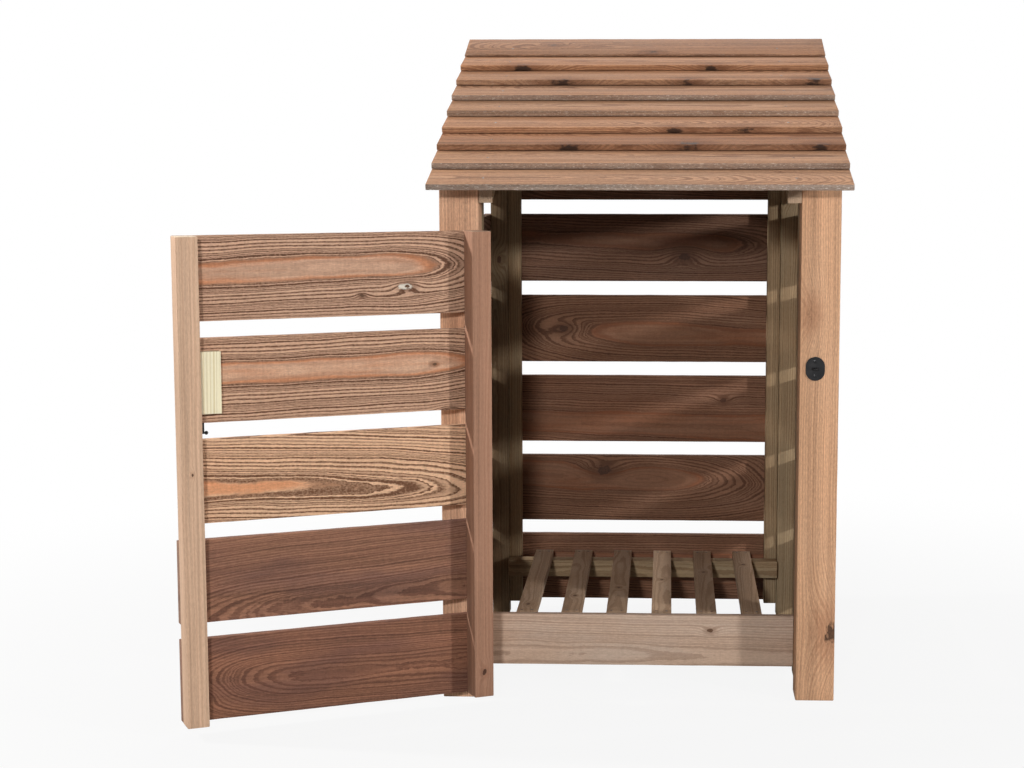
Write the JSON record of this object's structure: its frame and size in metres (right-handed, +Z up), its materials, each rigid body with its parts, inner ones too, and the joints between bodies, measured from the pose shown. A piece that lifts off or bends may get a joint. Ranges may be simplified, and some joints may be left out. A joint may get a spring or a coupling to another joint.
{
  "type": "log store",
  "caption": "Slatted timber log store on four legs with a lapped sloping roof, a raised slatted floor and one boarded door that stands open.",
  "frame": {"origin": "middle of the foot of the hinge post, the front left post seen from the front", "axes": "+X across the front from the hinge post to the latch post, +Y from the front to the back, +Z up"},
  "size_m": [1.213, 1.0947, 1.2871],
  "materials": {
    "post_wood": "planed pressure-treated softwood, weathered tan brown",
    "batten_wood": "sawn treated softwood, greenish tan",
    "wall_wood": "rough-sawn treated boards, dark brown",
    "roof_wood": "rough-sawn treated boards, brown, weathered grey at some edges",
    "sill_wood": "sawn board, grey brown",
    "floor_wood": "sawn slats",
    "stile_wood": "planed stile, pale brown",
    "door_wood": "rough-sawn boards with strong dark grain",
    "new_softwood": "untreated pale softwood",
    "black_steel": "black epoxy-coated steel, satin"
  },
  "bodies": {
    "store": {"hinge_post": "post_wood", "latch_post": "post_wood", "left_front_batten": "batten_wood", "left_rear_leg": "batten_wood", "right_front_batten": "batten_wood", "right_rear_leg": "batten_wood", "left_side_boards": "wall_wood", "right_side_boards": "wall_wood", "left_back_batten": "batten_wood", "right_back_batten": "batten_wood", "back_board_1": "wall_wood", "back_board_2": "wall_wood", "back_board_3": "wall_wood", "back_board_4": "wall_wood", "back_board_5": "wall_wood", "back_board_6": "wall_wood", "back_board_7": "wall_wood", "left_rafter": "batten_wood", "right_rafter": "batten_wood", "roof_board_1": "roof_wood", "roof_board_2": "roof_wood", "roof_board_3": "roof_wood", "roof_board_4": "roof_wood", "roof_board_5": "roof_wood", "roof_board_6": "roof_wood", "roof_board_7": "roof_wood", "roof_board_8": "roof_wood", "roof_board_9": "roof_wood", "sill": "sill_wood", "front_bearer": "batten_wood", "rear_bearer": "batten_wood", "floor_slats": "floor_wood", "eye_plate": "black_steel", "post_leaves": "black_steel"},
    "door": {"door_straps": "black_steel", "hinge_stile": "stile_wood", "latch_stile": "stile_wood", "door_board_1": "door_wood", "door_board_2": "door_wood", "door_board_3": "door_wood", "door_board_4": "door_wood", "door_board_5": "door_wood", "packing_block": "new_softwood", "hook_plate": "black_steel"},
    "hook": {"cabin_hook": "black_steel"}
  },
  "joints": [
    {"name": "door_swing", "type": "hinge", "parent": "store", "child": "door", "pos_m": [0.04175, -0.043, 0.461], "axis": [0, 0, 1], "range_deg": [-20, 154.5]},
    {"name": "hook_swing", "type": "hinge", "parent": "door", "child": "hook", "pos_m": [-0.43844, -0.26794, 0.64], "axis": [-0.4305, 0.9026, 0], "range_deg": [-90, 75]}
  ]
}
